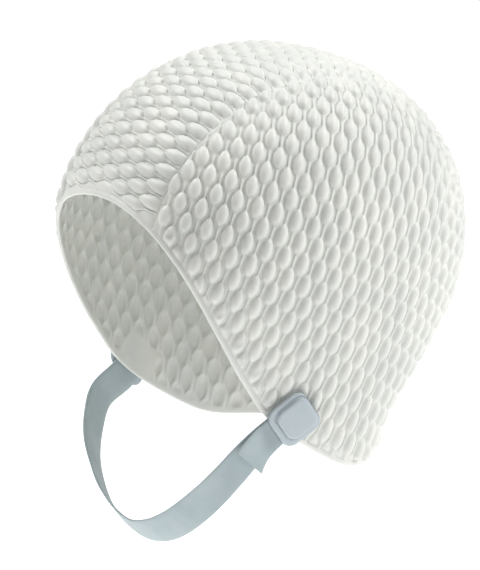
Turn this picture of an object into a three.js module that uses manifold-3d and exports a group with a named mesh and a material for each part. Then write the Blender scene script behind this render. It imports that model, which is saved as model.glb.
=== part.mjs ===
// Bathing cap of moulded latex with raised bubbles, ear flaps and a chin strap.
// Millimetres, +Z up. The wearer faces -Y and the wearer's left is +X.
// The origin is the middle of the head, level with the cap's widest ring.
import * as THREE from 'three';
import { mergeVertices } from 'three/addons/utils/BufferGeometryUtils.js';
import Module from 'manifold-3d';

// Form of the cap, measured to the foot of the bubbles
const HALF_WIDTH = 76.5;
const FRONT_LENGTH = 101.5;
const BACK_LENGTH = 102.5;
const CROWN_RISE = 91.5;
const NAPE_DROP = 107;
// How boxy the form is across the head, 2 being an ellipse
const CROSS_FULLNESS = 2.8;
const LENGTH_FULLNESS = 2;

// Moulded wall and its relief
const WALL = 1.5;
const BUBBLE_HEIGHT = 2.4;
// Smooth band along the edge, and the height over which the bubbles rise from it
const RIM_BAND = 3.5;
const RIM_FADE = 3;
// Depth of the bubbled plates before the inside of the cap is cut out of them
const PLATE_DEPTH = 12;

// Centre strip: columns of half bubbles, the last one on each side cut short by the seam
const STRIP_HALF_WIDTH = 36;
const STRIP_COLUMNS = 4;
const STRIP_COLUMN = 10.6;
const STRIP_ROW = 4.32;
const STRIP_START = 4.2;
// How far the rows drop toward the face for each millimetre to the wearer's left
const STRIP_SKEW = 0.1;
const STRIP_FIRST_ANGLE = 6;
const STRIP_LAST_ANGLE = 249;

// Side panels: half bubbles on a flat lattice that is wrapped round the head
const SIDE_ACROSS = 5.15;
const SIDE_ALONG = 9.3;
const SIDE_ACROSS_TILT = 29.5;
const SIDE_ALONG_TILT = 24.3;
const SIDE_SHIFT_BACK = -3.3;
const SIDE_SHIFT_UP = 4.2;
// How much the lattice widens toward the crown and sags at its ends, over SIDE_SPAN
const SIDE_SPAN = 80;
const SIDE_WIDENING = 0.06;
const SIDE_SAG = 0.05;
const SIDE_REACH = 1.42;
const SIDE_FADE = 3;
const SEAM_OVERLAP = 0.3;

// Chin strap and its buttons
const STRAP_WIDTH = 17;
const STRAP_THICKNESS = 1.0;
const STRAP_STATIONS = 60;
const TAB_LENGTH = 31;
const TAB_WIDTH = 18.5;
const TAB_STATIONS = 14;
const BUTTON_LENGTH = 22;
const BUTTON_WIDTH = 25.5;
const BUTTON_CORNER = 6;
const FLANGE_THICKNESS = 1.4;
const PAD_LENGTH = 18.5;
const PAD_WIDTH = 20.5;
const PAD_CORNER = 4.5;
const PAD_SHIFT_BACK = 1.5;
const PAD_HEIGHT = 2;
const EDGE_ROUNDING = 0.5;
const BUTTON_BACK_FROM_FACE = 66;
const BUTTON_DROP = 0.66;
const BUTTON_SLOPE = 37.5;
const SEAT_GAP = 0.3;
const STRAP_STANDOFF = 0.7;

const RIM_STEPS = 72;
const OUTLINE_STEPS = 600;
// Directions and steps in which the side is walked out from its widest point
const WALK_TURNS = 72;
const WALK_STEPS = 60;
const WALK_DEGREES = 1.5;
const CORE_TURNS = 36;
const CORE_LEVELS = 24;
const FAR_OUT = 170;

// Level sections of the head below the widest ring, in shares of NAPE_DROP and of the three lengths
const HEAD_SECTIONS = [
  { height: 0, side: 1, front: 1, back: 1 },
  { height: -0.28, side: 0.96, front: 0.98, back: 0.95 },
  { height: -0.56, side: 0.885, front: 0.89, back: 0.76 },
  { height: -0.84, side: 0.8, front: 0.79, back: 0.53 },
  { height: -1.12, side: 0.73, front: 0.71, back: 0.48 },
  { height: -1.4, side: 0.7, front: 0.68, back: 0.46 },
];

// Edge of the cap: degrees turned from the face, and height in shares of NAPE_DROP
const RIM = [
  { turn: 0, height: 0.327 },
  { turn: 10, height: 0.31 },
  { turn: 18, height: 0.262 },
  { turn: 24.5, height: 0.185 },
  { turn: 30.5, height: 0.07 },
  { turn: 36, height: -0.086 },
  { turn: 41.3, height: -0.268 },
  { turn: 47, height: -0.455 },
  { turn: 54.5, height: -0.632 },
  { turn: 66, height: -0.765 },
  { turn: 85, height: -0.9 },
  { turn: 101, height: -0.977 },
  { turn: 118, height: -1 },
  { turn: 180, height: -1 },
];

// Route of the strap along the jaw, in shares of HALF_WIDTH, FRONT_LENGTH and NAPE_DROP,
// and the lean of its width below the level, in degrees
const STRAP_ROUTE = [
  { side: 0.79, forward: 0.5, drop: 0.8, lean: 52 },
  { side: 0.725, forward: 0.58, drop: 0.9, lean: 55 },
  { side: 0.63, forward: 0.64, drop: 1.0, lean: 58 },
  { side: 0.5, forward: 0.68, drop: 1.095, lean: 59 },
  { side: 0.366, forward: 0.705, drop: 1.17, lean: 56 },
  { side: 0.2, forward: 0.714, drop: 1.23, lean: 50 },
  { side: 0, forward: 0.715, drop: 1.26, lean: 46 },
];

const LATEX = { color: 0xeceae4, roughness: 0.45, metalness: 0 };
const BUTTON_PLASTIC = { color: 0xbcc6d2, roughness: 0.35, metalness: 0 };
const STRAP_RUBBER = { color: 0xb3c1ca, roughness: 0.5, metalness: 0 };

const radians = THREE.MathUtils.degToRad;
const clamp = THREE.MathUtils.clamp;
const wasm = await Module();
wasm.setup();

// Value of one column of a table at a place between its rows, on a smooth curve
function readTable(rows, key, place, column) {
  const last = rows.length - 1;
  const rising = rows[last][key] > rows[0][key] ? 1 : -1;
  let row = 0;
  while (row < last - 1 && (place - rows[row + 1][key]) * rising > 0) {
    row += 1;
  }
  const slopeAt = (index) => {
    if (index === 0 || index === last) {
      return 0;
    }
    const before = rows[index - 1];
    const after = rows[index + 1];
    return (after[column] - before[column]) / (after[key] - before[key]);
  };
  const start = rows[row];
  const end = rows[row + 1];
  const span = end[key] - start[key];
  const share = clamp((place - start[key]) / span, 0, 1);
  const square = share * share;
  const cube = square * share;
  return (
    (2 * cube - 3 * square + 1) * start[column] +
    (cube - 2 * square + share) * span * slopeAt(row) +
    (3 * square - 2 * cube) * end[column] +
    (cube - square) * span * slopeAt(row + 1)
  );
}

// Below 1 inside the form, above 1 outside it: a dome over the level sections of the head
function fieldAt(point) {
  const place = Math.min(point.z / NAPE_DROP, 0);
  const dome = Math.max(point.z / CROWN_RISE, 0) ** 2;
  const side = HALF_WIDTH * readTable(HEAD_SECTIONS, 'height', place, 'side');
  const front = FRONT_LENGTH * readTable(HEAD_SECTIONS, 'height', place, 'front');
  const back = BACK_LENGTH * readTable(HEAD_SECTIONS, 'height', place, 'back');
  const length = point.y < 0 ? front : back;
  return (
    Math.abs(point.x / side) ** CROSS_FULLNESS +
    Math.abs(point.y / length) ** LENGTH_FULLNESS +
    dome
  );
}

// Point of the form on a line from a start inside it
function onForm(start, direction) {
  let near = 0;
  let far = 2 * FRONT_LENGTH;
  for (let step = 0; step < 32; step += 1) {
    const middle = (near + far) / 2;
    const point = start.clone().addScaledVector(direction, middle);
    if (fieldAt(point) < 1) {
      near = middle;
    } else {
      far = middle;
    }
  }
  return start.clone().addScaledVector(direction, near);
}

// Height of the cap's edge on the side that is turned so far from the face
function rimHeight(turn) {
  const folded = Math.abs(((turn + 540) % 360) - 180);
  return NAPE_DROP * readTable(RIM, 'turn', folded, 'height');
}

// Point of the form at a turn from the face and a height
function atTurn(turn, height) {
  const direction = new THREE.Vector3(Math.sin(radians(turn)), -Math.cos(radians(turn)), 0);
  return onForm(new THREE.Vector3(0, 0, height), direction);
}

// Outward direction of the form at a point on it
function outwardAt(point) {
  const reach = 0.5;
  const slope = new THREE.Vector3();
  for (const axis of ['x', 'y', 'z']) {
    const ahead = point.clone();
    const behind = point.clone();
    ahead[axis] += reach;
    behind[axis] -= reach;
    slope[axis] = fieldAt(ahead) - fieldAt(behind);
  }
  return slope.normalize();
}

// Point that stands a lift off the form, square to it
function lifted(foot, lift) {
  return foot.clone().addScaledVector(outwardAt(foot), lift);
}

// Closed solid from points and triangles, turned so that its faces point outward
function solidOf(points, triangles) {
  let volume = 0;
  for (const [a, b, c] of triangles) {
    volume += points[a].dot(points[b].clone().cross(points[c]));
  }
  const order = volume > 0 ? (triangle) => triangle : ([a, b, c]) => [a, c, b];
  const vertProperties = new Float32Array(points.flatMap((point) => point.toArray()));
  const triVerts = new Uint32Array(triangles.flatMap(order));
  return new wasm.Manifold(new wasm.Mesh({ numProp: 3, vertProperties, triVerts }));
}

// Closed solid from one of the library's geometries
function solidOfGeometry(geometry) {
  geometry.deleteAttribute('normal');
  geometry.deleteAttribute('uv');
  const merged = mergeVertices(geometry);
  const places = merged.getAttribute('position');
  const index = merged.getIndex();
  const points = [];
  const triangles = [];
  for (let vertex = 0; vertex < places.count; vertex += 1) {
    points.push(new THREE.Vector3().fromBufferAttribute(places, vertex));
  }
  for (let corner = 0; corner < index.count; corner += 3) {
    triangles.push([index.getX(corner), index.getX(corner + 1), index.getX(corner + 2)]);
  }
  return solidOf(points, triangles);
}

// Curved plate over a lattice. Every second lattice point carries a bubble, and each cell is
// split along the line that joins its two low corners.
function latticePlate(columns, rows, outerPoint, innerPoint) {
  const points = [];
  const triangles = [];
  const wide = columns + 1;
  const layer = wide * (rows + 1);
  for (const place of [outerPoint, innerPoint]) {
    for (let row = 0; row <= rows; row += 1) {
      for (let column = 0; column <= columns; column += 1) {
        points.push(place(column, row));
      }
    }
  }
  for (let row = 0; row < rows; row += 1) {
    for (let column = 0; column < columns; column += 1) {
      const a = row * wide + column;
      const corners = [a, a + 1, a + 1 + wide, a + wide];
      const first = (column + row) % 2 === 0 ? 1 : 0;
      const at = (step) => corners[(first + step) % 4];
      triangles.push([at(0), at(1), at(2)], [at(0), at(2), at(3)]);
      triangles.push([at(0) + layer, at(2) + layer, at(1) + layer]);
      triangles.push([at(0) + layer, at(3) + layer, at(2) + layer]);
    }
  }
  const wall = (a, b) => {
    triangles.push([b, a, a + layer], [b, a + layer, b + layer]);
  };
  for (let column = 0; column < columns; column += 1) {
    wall(column, column + 1);
    wall(rows * wide + column + 1, rows * wide + column);
  }
  for (let row = 0; row < rows; row += 1) {
    wall((row + 1) * wide, row * wide);
    wall(row * wide + columns, (row + 1) * wide + columns);
  }
  return solidOf(points, triangles);
}

// Closed ring: one loop of points for each station round it
function ringSolid(loops) {
  const sides = loops[0].length;
  const triangles = [];
  for (let station = 0; station < loops.length; station += 1) {
    const next = (station + 1) % loops.length;
    for (let side = 0; side < sides; side += 1) {
      const beside = (side + 1) % sides;
      const corners = [station * sides + side, station * sides + beside];
      const ahead = [next * sides + side, next * sides + beside];
      triangles.push([corners[0], corners[1], ahead[1]], [corners[0], ahead[1], ahead[0]]);
    }
  }
  return solidOf(loops.flat(), triangles);
}

// Where the left button sits: its middle on the form, and its three directions
function buttonSeat() {
  const middle = atTurn(BUTTON_BACK_FROM_FACE, -BUTTON_DROP * NAPE_DROP);
  const outward = outwardAt(middle);
  const slope = radians(BUTTON_SLOPE);
  const along = new THREE.Vector3(0, -Math.cos(slope), -Math.sin(slope));
  along.addScaledVector(outward, -along.dot(outward)).normalize();
  const across = outward.clone().cross(along);
  return { middle, outward, along, across };
}
const SEAT = buttonSeat();

// Share of the full bubble height that is left near the edge of the cap
function shareAboveRim(point) {
  const turn = THREE.MathUtils.radToDeg(Math.atan2(point.x, -point.y));
  return clamp((point.z - rimHeight(turn) - RIM_BAND) / RIM_FADE, 0, 1);
}

// Share that is left near the seam, near the edge and under the button
function reliefShare(point) {
  const fromSeam = (Math.abs(point.x) - STRIP_HALF_WIDTH) / SIDE_FADE;
  const mirrored = new THREE.Vector3(Math.abs(point.x), point.y, point.z);
  const offset = mirrored.sub(SEAT.middle);
  const lane = Math.abs(offset.dot(SEAT.across)) < BUTTON_WIDTH / 2 + SIDE_ACROSS;
  const under = offset.dot(SEAT.along) > -BUTTON_LENGTH / 2 - SIDE_ACROSS;
  return lane && under ? 0 : clamp(fromSeam, 0, 1) * shareAboveRim(point);
}

// Runs along the outline over the middle of the head, at even angles
function stripRuns() {
  const rows = [];
  let run = 0;
  let last = null;
  for (let step = 0; step <= OUTLINE_STEPS; step += 1) {
    const share = step / OUTLINE_STEPS;
    const angle = radians(THREE.MathUtils.lerp(STRIP_FIRST_ANGLE, STRIP_LAST_ANGLE, share));
    const direction = new THREE.Vector3(0, -Math.cos(angle), Math.sin(angle));
    const point = onForm(new THREE.Vector3(), direction);
    run += last === null ? 0 : point.distanceTo(last);
    last = point;
    rows.push({ angle, run });
  }
  return rows;
}
const STRIP_RUNS = stripRuns();

// Angle over the head at a run along the outline
function stripAngle(run) {
  const next = clamp(STRIP_RUNS.findIndex((row) => row.run > run), 1, OUTLINE_STEPS);
  const before = STRIP_RUNS[next - 1];
  const after = STRIP_RUNS[next];
  const share = (run - before.run) / (after.run - before.run);
  return THREE.MathUtils.lerp(before.angle, after.angle, share);
}

function centreStrip() {
  const whole = STRIP_RUNS[OUTLINE_STEPS].run;
  const rows = Math.floor((whole - STRIP_START) / STRIP_ROW);
  const pointAt = (column, row, bubbleHeight, depth) => {
    const offset = column - STRIP_COLUMNS;
    const aside = clamp(offset * STRIP_COLUMN, -STRIP_HALF_WIDTH, STRIP_HALF_WIDTH);
    const angle = stripAngle(STRIP_START + row * STRIP_ROW - STRIP_SKEW * aside);
    const start = new THREE.Vector3(aside, 0, 0);
    const direction = new THREE.Vector3(0, -Math.cos(angle), Math.sin(angle));
    const bubble = (column + row) % 2 === 0 && Math.abs(offset) < STRIP_COLUMNS;
    const foot = onForm(start, direction);
    const outward = outwardAt(foot).setX(0).normalize();
    const lift = bubble ? bubbleHeight * shareAboveRim(foot) : 0;
    return foot.addScaledVector(outward, lift - depth);
  };
  return latticePlate(
    2 * STRIP_COLUMNS,
    rows,
    (column, row) => pointAt(column, row, BUBBLE_HEIGHT, 0),
    (column, row) => pointAt(column, row, 0, PLATE_DEPTH),
  );
}

// Point of the left side in a heading round its widest point, so many radians away from it
function onLeftSide(heading, angle) {
  const aside = Math.sin(angle);
  const direction = new THREE.Vector3(
    Math.cos(angle),
    aside * Math.cos(heading),
    aside * Math.sin(heading),
  );
  return onForm(new THREE.Vector3(), direction);
}

// Lengths along the form from the widest point of the side to each step, one list for a heading
const WALKS = Array.from({ length: WALK_TURNS + 1 }, (unused, turn) => {
  const heading = (2 * Math.PI * turn) / WALK_TURNS;
  const lengths = [0];
  let last = onLeftSide(heading, 0);
  for (let step = 1; step <= WALK_STEPS; step += 1) {
    const point = onLeftSide(heading, radians(step * WALK_DEGREES));
    lengths.push(lengths[step - 1] + point.distanceTo(last));
    last = point;
  }
  return lengths;
});

// Angle that is reached by walking a distance along the form
function walkedAngle(heading, distance) {
  const turn = (WALK_TURNS * THREE.MathUtils.euclideanModulo(heading, 2 * Math.PI)) / (2 * Math.PI);
  const before = Math.min(Math.floor(turn), WALK_TURNS - 1);
  const lengthAt = (step) =>
    THREE.MathUtils.lerp(WALKS[before][step], WALKS[before + 1][step], turn - before);
  let step = 0;
  while (step < WALK_STEPS - 1 && lengthAt(step + 1) < distance) {
    step += 1;
  }
  const share = (distance - lengthAt(step)) / (lengthAt(step + 1) - lengthAt(step));
  return radians((step + share) * WALK_DEGREES);
}

// Foot of a lattice place on the left side, counted in half bubbles from the lattice's middle
function sideFoot(across, along) {
  const acrossTilt = radians(SIDE_ACROSS_TILT);
  const alongTilt = radians(SIDE_ALONG_TILT);
  const back =
    across * SIDE_ACROSS * Math.cos(acrossTilt) +
    along * SIDE_ALONG * Math.sin(alongTilt) +
    SIDE_SHIFT_BACK;
  const up =
    -across * SIDE_ACROSS * Math.sin(acrossTilt) +
    along * SIDE_ALONG * Math.cos(alongTilt) +
    SIDE_SHIFT_UP;
  const widened = back * (1 + (SIDE_WIDENING * up) / SIDE_SPAN);
  const sagged = up - (SIDE_SAG * (back ** 2 + up ** 2)) / SIDE_SPAN;
  const heading = Math.atan2(sagged, widened);
  return onLeftSide(heading, walkedAngle(heading, Math.hypot(widened, sagged)));
}

// Side panel, trimmed at the seam. The side is 1 on the wearer's left and -1 on the right.
function sidePanel(side) {
  const reach = (SIDE_REACH * (HALF_WIDTH + CROWN_RISE)) / 2;
  const columns = 2 * Math.ceil(reach / SIDE_ACROSS);
  const rows = 2 * Math.ceil(reach / SIDE_ALONG);
  const pointAt = (column, row, bubbleHeight, depth) => {
    const foot = sideFoot(column - columns / 2, row - rows / 2);
    foot.x *= side;
    const lift = (column + row) % 2 === 0 ? bubbleHeight * reliefShare(foot) : 0;
    return lifted(foot, lift - depth);
  };
  const plate = latticePlate(
    columns,
    rows,
    (column, row) => pointAt(column, row, BUBBLE_HEIGHT, 0),
    (column, row) => pointAt(column, row, 0, PLATE_DEPTH),
  );
  const half = new THREE.BoxGeometry(FAR_OUT, 2 * FAR_OUT, 2 * FAR_OUT);
  half.translate(side * (STRIP_HALF_WIDTH - SEAM_OVERLAP + FAR_OUT / 2), 0, 0);
  return plate.intersect(solidOfGeometry(half));
}

// Everything below the cap's edge, as a ring that is cut away
function belowRim() {
  const loops = [];
  const inner = HALF_WIDTH / 4;
  for (let step = 0; step < RIM_STEPS; step += 1) {
    const turn = (360 * step) / RIM_STEPS;
    const direction = [Math.sin(radians(turn)), -Math.cos(radians(turn))];
    const corner = (radius, height) =>
      new THREE.Vector3(direction[0] * radius, direction[1] * radius, height);
    const top = rimHeight(turn);
    loops.push([
      corner(inner, top),
      corner(FAR_OUT, top),
      corner(FAR_OUT, -FAR_OUT),
      corner(inner, -FAR_OUT),
    ]);
  }
  return ringSolid(loops);
}

// The room inside the cap, smooth and open downward
function headCore() {
  const middle = new THREE.Vector3();
  const down = new THREE.Vector3(0, 0, -1);
  const points = [onForm(middle, down), lifted(onForm(middle, down.clone().negate()), -WALL)];
  const triangles = [];
  for (let level = 1; level < CORE_LEVELS; level += 1) {
    const rise = Math.PI * (level / CORE_LEVELS - 0.5);
    for (let turn = 0; turn < CORE_TURNS; turn += 1) {
      const angle = (2 * Math.PI * turn) / CORE_TURNS;
      const flat = Math.cos(rise);
      const direction = new THREE.Vector3(
        flat * Math.sin(angle),
        -flat * Math.cos(angle),
        Math.sin(rise),
      );
      points.push(lifted(onForm(middle, direction), -WALL));
    }
  }
  const at = (level, turn) => 2 + (level - 1) * CORE_TURNS + (turn % CORE_TURNS);
  for (let turn = 0; turn < CORE_TURNS; turn += 1) {
    triangles.push([0, at(1, turn + 1), at(1, turn)]);
    triangles.push([1, at(CORE_LEVELS - 1, turn), at(CORE_LEVELS - 1, turn + 1)]);
    for (let level = 1; level < CORE_LEVELS - 1; level += 1) {
      const corners = [at(level, turn), at(level, turn + 1)];
      const above = [at(level + 1, turn), at(level + 1, turn + 1)];
      triangles.push([corners[0], corners[1], above[1]], [corners[0], above[1], above[0]]);
    }
  }
  return solidOf(points, triangles);
}

function capShell() {
  const panels = centreStrip().add(sidePanel(1)).add(sidePanel(-1));
  return panels.subtract(headCore()).subtract(belowRim());
}

// Flat band along stations that each have a centre, an outward and an across direction
function bandSolid(stations, width, thickness) {
  const points = [];
  const triangles = [];
  const corners = [[-1, -1], [1, -1], [1, 1], [-1, 1]];
  for (const { centre, outward, across } of stations) {
    for (const [sideways, outwards] of corners) {
      const point = centre.clone().addScaledVector(across, (sideways * width) / 2);
      points.push(point.addScaledVector(outward, (outwards * thickness) / 2));
    }
  }
  for (let station = 0; station < stations.length - 1; station += 1) {
    const base = station * 4;
    for (let side = 0; side < 4; side += 1) {
      const beside = (side + 1) % 4;
      triangles.push([base + side, base + beside, base + 4 + beside]);
      triangles.push([base + side, base + 4 + beside, base + 4 + side]);
    }
  }
  const end = (stations.length - 1) * 4;
  triangles.push([0, 2, 1], [0, 3, 2], [end, end + 1, end + 2], [end, end + 2, end + 3]);
  return solidOf(points, triangles);
}

// Middle of the strap's thickness above the form
const STRAP_LIFT = STRAP_STANDOFF + STRAP_THICKNESS / 2;
const TAB_LIFT = STRAP_THICKNESS + SEAT_GAP;

// Points and width directions of the strap from the left button to the middle under the chin
function leftRoute() {
  const start = SEAT.middle.clone().addScaledVector(SEAT.outward, STRAP_LIFT);
  const leaving = start.clone().addScaledVector(SEAT.along, BUTTON_LENGTH / 2);
  const route = [
    { point: start, across: SEAT.across },
    { point: leaving, across: SEAT.across },
  ];
  for (const row of STRAP_ROUTE) {
    const lean = radians(row.lean);
    const point = new THREE.Vector3(
      row.side * HALF_WIDTH,
      -row.forward * FRONT_LENGTH,
      -row.drop * NAPE_DROP,
    );
    route.push({ point, across: new THREE.Vector3(0, Math.cos(lean), -Math.sin(lean)) });
  }
  return route;
}

// Stations along the loop, from the left button under the chin to a share of its whole length
function strapStations(count, lastShare, lift) {
  const left = leftRoute();
  const flip = (vector) => new THREE.Vector3(-vector.x, vector.y, vector.z);
  const right = left.slice(0, -1).reverse();
  const points = [...left.map((row) => row.point), ...right.map((row) => flip(row.point))];
  const widths = [...left.map((row) => row.across), ...right.map((row) => flip(row.across))];
  const path = new THREE.CatmullRomCurve3(points);
  const leans = new THREE.CatmullRomCurve3(widths);
  return Array.from({ length: count + 1 }, (unused, station) => {
    const place = path.getUtoTmapping((lastShare * station) / count);
    const heading = path.getTangent(place);
    const across = leans.getPoint(place);
    across.addScaledVector(heading, -across.dot(heading)).normalize();
    const outward = heading.clone().cross(across);
    const centre = path.getPoint(place).addScaledVector(outward, lift);
    return { centre, outward, across, length: path.getLength() };
  });
}

function chinStrap() {
  return bandSolid(strapStations(STRAP_STATIONS, 1, 0), STRAP_WIDTH, STRAP_THICKNESS);
}

function strapTab() {
  const whole = strapStations(1, 1, 0)[0].length;
  const stations = strapStations(TAB_STATIONS, TAB_LENGTH / whole, TAB_LIFT);
  return bandSolid(stations, TAB_WIDTH, STRAP_THICKNESS);
}

// Plate with rounded corners and edges, lying on the level z = 0 of its own frame
function roundedPlate(length, width, thickness, corner) {
  const halfLength = length / 2 - EDGE_ROUNDING;
  const halfWidth = width / 2 - EDGE_ROUNDING;
  const radius = corner - EDGE_ROUNDING;
  const outline = new THREE.Shape();
  outline.absarc(halfLength - radius, halfWidth - radius, radius, 0, Math.PI / 2);
  outline.absarc(radius - halfLength, halfWidth - radius, radius, Math.PI / 2, Math.PI);
  outline.absarc(radius - halfLength, radius - halfWidth, radius, Math.PI, 1.5 * Math.PI);
  outline.absarc(halfLength - radius, radius - halfWidth, radius, 1.5 * Math.PI, 2 * Math.PI);
  const plate = new THREE.ExtrudeGeometry(outline, {
    depth: thickness - 2 * EDGE_ROUNDING,
    bevelThickness: EDGE_ROUNDING,
    bevelSize: EDGE_ROUNDING,
    bevelSegments: 1,
    curveSegments: 3,
  });
  return plate.translate(0, 0, EDGE_ROUNDING);
}

// Button with a flange and a raised pad, in its own frame
function buttonSolid() {
  const flange = roundedPlate(BUTTON_LENGTH, BUTTON_WIDTH, FLANGE_THICKNESS, BUTTON_CORNER);
  const padDepth = FLANGE_THICKNESS / 2 + PAD_HEIGHT;
  const pad = roundedPlate(PAD_LENGTH, PAD_WIDTH, padDepth, PAD_CORNER);
  pad.translate(-PAD_SHIFT_BACK, 0, FLANGE_THICKNESS / 2);
  return solidOfGeometry(flange).add(solidOfGeometry(pad));
}

// Named mesh of a solid
function meshOf(name, solid, finish) {
  const { vertProperties, triVerts } = solid.getMesh();
  const geometry = new THREE.BufferGeometry();
  geometry.setAttribute('position', new THREE.BufferAttribute(vertProperties, 3));
  geometry.setIndex(new THREE.BufferAttribute(triVerts, 1));
  geometry.computeVertexNormals();
  const mesh = new THREE.Mesh(geometry, new THREE.MeshStandardMaterial(finish));
  mesh.name = name;
  return mesh;
}

// Button placed on the left or right flap, over what lies under it
function placedButton(name, side, layersUnder) {
  const lift = STRAP_LIFT + STRAP_THICKNESS / 2 + SEAT_GAP + layersUnder * TAB_LIFT;
  const mesh = meshOf(name, buttonSolid(), BUTTON_PLASTIC);
  const place = SEAT.middle.clone().addScaledVector(SEAT.outward, lift);
  const mirrored = (vector) => new THREE.Vector3(side * vector.x, vector.y, vector.z);
  const frame = new THREE.Matrix4().makeBasis(
    mirrored(SEAT.along),
    mirrored(SEAT.across).multiplyScalar(side),
    mirrored(SEAT.outward),
  );
  mesh.position.copy(mirrored(place));
  mesh.quaternion.setFromRotationMatrix(frame);
  return mesh;
}

const swimCap = new THREE.Group();
swimCap.add(
  meshOf('cap_shell', capShell(), LATEX),
  meshOf('strap', chinStrap(), STRAP_RUBBER),
  meshOf('strap_tab', strapTab(), STRAP_RUBBER),
  placedButton('button_left', 1, 1),
  placedButton('button_right', -1, 0),
);

export default swimCap;
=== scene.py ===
# %% [markdown]
# # A moulded bathing cap with raised bubbles
# A cap of this kind is moulded from latex rubber. It shows three faces: a strip that runs
# over the head from the brow to the nape, and one panel over each ear. This lesson builds
# the three panels, the chin strap and its two buttons around a measured model of the same
# cap, which stays the ruler for every size.

# %% Load the measured model
import math

import bmesh
import bpy
import numpy as np
from mathutils import Matrix, Vector
from mathutils.kdtree import KDTree


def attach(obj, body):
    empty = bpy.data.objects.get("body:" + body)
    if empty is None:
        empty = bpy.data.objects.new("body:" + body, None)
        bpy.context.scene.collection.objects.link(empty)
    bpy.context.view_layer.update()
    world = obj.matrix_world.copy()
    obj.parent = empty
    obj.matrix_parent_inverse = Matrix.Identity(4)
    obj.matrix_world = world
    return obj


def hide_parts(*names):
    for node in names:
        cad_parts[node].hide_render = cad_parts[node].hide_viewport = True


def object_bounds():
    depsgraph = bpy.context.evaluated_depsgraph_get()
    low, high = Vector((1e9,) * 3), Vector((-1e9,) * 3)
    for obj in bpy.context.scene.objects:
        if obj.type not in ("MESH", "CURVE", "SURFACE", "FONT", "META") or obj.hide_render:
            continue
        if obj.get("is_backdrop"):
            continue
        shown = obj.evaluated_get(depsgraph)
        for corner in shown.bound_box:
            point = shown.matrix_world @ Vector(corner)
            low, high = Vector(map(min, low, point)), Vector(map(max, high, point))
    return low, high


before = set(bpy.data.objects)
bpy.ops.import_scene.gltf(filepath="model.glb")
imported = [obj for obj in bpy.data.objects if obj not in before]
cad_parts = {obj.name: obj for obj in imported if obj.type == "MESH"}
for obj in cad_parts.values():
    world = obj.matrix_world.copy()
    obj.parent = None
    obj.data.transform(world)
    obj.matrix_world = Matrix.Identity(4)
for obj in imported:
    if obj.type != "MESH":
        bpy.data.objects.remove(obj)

MEASURED_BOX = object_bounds()
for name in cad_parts:
    print("measured piece:", name)

# %% [markdown]
# ## The form of the head
# The cap is stretched over a head, so the head's form comes first. It is a dome above the
# widest ring, and below it a stack of level sections that narrow towards the neck. A
# subdivided sphere could be pulled into shape by hand, but a formula lets every bubble
# find its own place on the surface. Lengths are in millimetres until a mesh is made.

# %% Sizes of the form
MM = 0.001
HALF_WIDTH = 76.5
FRONT_LENGTH = 101.5
BACK_LENGTH = 102.5
CROWN_RISE = 91.5
NAPE_DROP = 107.0
CROSS_FULLNESS = 2.8
WALL = 1.5
HALVINGS = 28

HEAD_SECTIONS = [
    dict(height=-1.4, side=0.7, front=0.68, back=0.46),
    dict(height=-1.12, side=0.73, front=0.71, back=0.48),
    dict(height=-0.84, side=0.8, front=0.79, back=0.53),
    dict(height=-0.56, side=0.885, front=0.89, back=0.76),
    dict(height=-0.28, side=0.96, front=0.98, back=0.95),
    dict(height=0.0, side=1.0, front=1.0, back=1.0),
]


def read_table(rows, key, column, places):
    """One column of a table on a smooth curve that is level at both ends."""
    keys = np.array([row[key] for row in rows])
    values = np.array([row[column] for row in rows])
    slopes = np.zeros(len(keys))
    slopes[1:-1] = (values[2:] - values[:-2]) / (keys[2:] - keys[:-2])
    places = np.clip(places, keys[0], keys[-1])
    row = np.clip(np.searchsorted(keys, places) - 1, 0, len(keys) - 2)
    span = keys[row + 1] - keys[row]
    share = (places - keys[row]) / span
    square, cube = share**2, share**3
    return (
        (2 * cube - 3 * square + 1) * values[row]
        + (cube - 2 * square + share) * span * slopes[row]
        + (3 * square - 2 * cube) * values[row + 1]
        + (cube - square) * span * slopes[row + 1]
    )


def form_field(points):
    """Below 1 inside the head's form and above 1 outside it."""
    x, y, z = points.T
    place = np.minimum(z / NAPE_DROP, 0)
    side = HALF_WIDTH * read_table(HEAD_SECTIONS, "height", "side", place)
    front = FRONT_LENGTH * read_table(HEAD_SECTIONS, "height", "front", place)
    back = BACK_LENGTH * read_table(HEAD_SECTIONS, "height", "back", place)
    dome = np.maximum(z / CROWN_RISE, 0) ** 2
    return np.abs(x / side) ** CROSS_FULLNESS + (y / np.where(y < 0, front, back)) ** 2 + dome


def on_form(starts, directions):
    """Where lines from inside the form leave it, found by halving."""
    near = np.zeros(len(starts))
    far = np.full(len(starts), 2 * FRONT_LENGTH)
    for step in range(HALVINGS):
        middle = (near + far) / 2
        inside = form_field(starts + middle[:, None] * directions) < 1
        near = np.where(inside, middle, near)
        far = np.where(inside, far, middle)
    return starts + near[:, None] * directions


def unit(vectors):
    return vectors / np.linalg.norm(vectors, axis=1, keepdims=True)


def outward_at(points, reach=0.5):
    """Direction square to the form."""
    steps = reach * np.eye(3)
    slope = [form_field(points + step) - form_field(points - step) for step in steps]
    return unit(np.array(slope).T)


def smooth_share(values, start, end):
    """0 up to the start, 1 from the end on, and a soft rise between."""
    share = np.clip((values - start) / (end - start), 0, 1)
    return share * share * (3 - 2 * share)


crown = on_form(np.zeros((1, 3)), np.array([[0.0, 0.0, 1.0]]))
print("crown of the form at", crown[0].round(1), "mm")

# %% [markdown]
# ## The edge of the cap
# The edge runs low over the brow, sweeps down in front of the ears to a flap, and goes
# level round the nape. It is kept as a line of points on the form, so that each place on
# the cap can ask how far it lies from the edge, measured along the rubber.

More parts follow.
